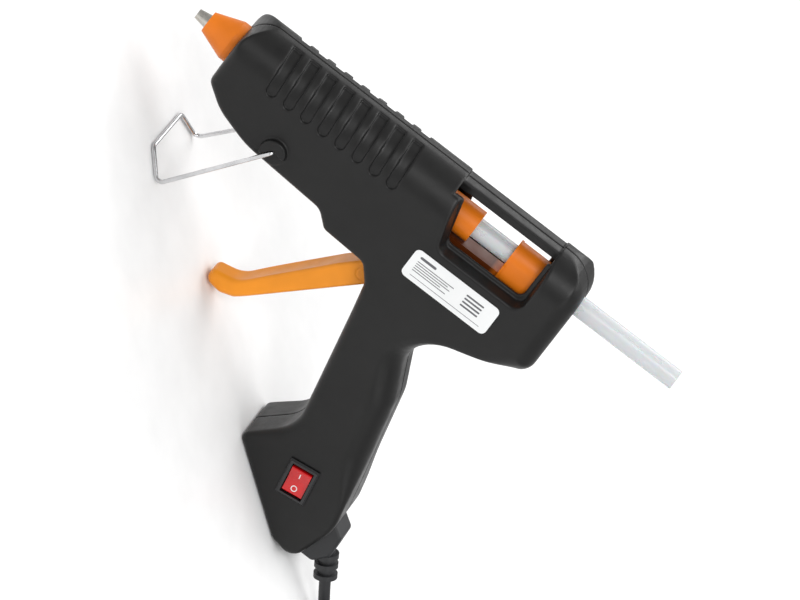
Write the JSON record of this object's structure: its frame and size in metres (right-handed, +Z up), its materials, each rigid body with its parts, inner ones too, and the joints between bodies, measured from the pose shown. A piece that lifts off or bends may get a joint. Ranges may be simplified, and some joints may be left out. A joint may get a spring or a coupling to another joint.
{
  "type": "glue gun",
  "caption": "Mains hot-melt glue gun with a two-shell pistol housing, window over the stick feed, long trigger, folding wire stand and coiled lead with flat plug.",
  "frame": {"origin": "middle of the flat foot of the handle, on the bench the gun stands on", "axes": "+X to the back of the gun along the bench, +Y to its right, +Z up; the nozzle points down and forward at 40 degrees"},
  "size_m": [0.4332, 0.0911, 0.2367],
  "materials": {
    "housing": "satin black moulding",
    "orange": "satin orange moulding",
    "label": "matt printed film",
    "stick": "translucent",
    "red": "gloss",
    "black_gloss": "gloss",
    "nozzle_metal": "turned",
    "wire": "bright plated",
    "cord": "matt",
    "chamber_metal": "as cast",
    "steel": "plated",
    "ceramic": null,
    "silicone": "matt silicone",
    "copper_leads": "insulated wire",
    "brass": "plated"
  },
  "bodies": {
    "housing": {"left_shell": "housing", "right_shell": "housing", "shell_screws": "steel", "rating_label": "label", "nozzle_tip": "nozzle_metal", "nozzle_sleeve": "orange", "check_ball": "steel", "check_spring": "steel", "melt_chamber": "chamber_metal", "heater_element": "ceramic", "feed_sleeve": "silicone", "sleeve_clip": "steel", "front_guide": "orange", "trigger_pin": "steel", "return_spring": "steel", "switch_body": "black_gloss", "switch_terminals": "brass", "strain_relief": "cord", "cord_tail": "cord", "mains_cord": "cord", "cord_coil": "cord", "cord_tie": "cord", "plug_body": "cord", "plug_pins": "brass", "live_lead": "copper_leads", "heater_lead": "copper_leads", "neutral_lead": "copper_leads"},
    "trigger": {"trigger": "orange", "drive_pin": "steel"},
    "carriage": {"feed_carriage": "orange"},
    "jaw": {"grip_jaw": "steel"},
    "stick": {"glue_stick": "stick"},
    "stand": {"stand_wire": "wire"},
    "rocker": {"switch_rocker": "red"}
  },
  "joints": [
    {"name": "trigger_pull", "type": "hinge", "parent": "housing", "child": "trigger", "pos_m": [-0.10498, 0, 0.10022], "axis": [0, -1, 0], "range_deg": [0, 38], "stiffness_Nm_per_rad": 0.5, "springref_deg": -14.32, "deforming": ["return_spring"]},
    {"name": "carriage_slide", "type": "slide", "parent": "housing", "child": "carriage", "axis": [-0.766, 0, -0.6428], "range_m": [0, 0.0158]},
    {"name": "jaw_grip", "type": "hinge", "parent": "carriage", "child": "jaw", "pos_m": [-0.08095, 0, 0.16633], "axis": [0, 1, 0], "range_deg": [0, 4]},
    {"name": "stick_feed", "type": "slide", "parent": "housing", "child": "stick", "axis": [-0.766, 0, -0.6428], "range_m": [0, 0.0158]},
    {"name": "stand_fold", "type": "hinge", "parent": "housing", "child": "stand", "pos_m": [-0.17831, 0, 0.0644], "axis": [0, -1, 0], "range_deg": [0, 110]},
    {"name": "rocker_tilt", "type": "hinge", "parent": "housing", "child": "rocker", "pos_m": [0.00095, -0.0181, 0.02423], "axis": [-0.6613, 0, -0.7501], "range_deg": [0, 14]}
  ],
  "couplings": [
    {"joint": "carriage_slide", "follows": "trigger_pull", "m_per_rad": 0.023563},
    {"joint": "jaw_grip", "follows": "trigger_pull", "ratio": 0.1},
    {"joint": "stick_feed", "follows": "trigger_pull", "m_per_rad": 0.023563}
  ]
}
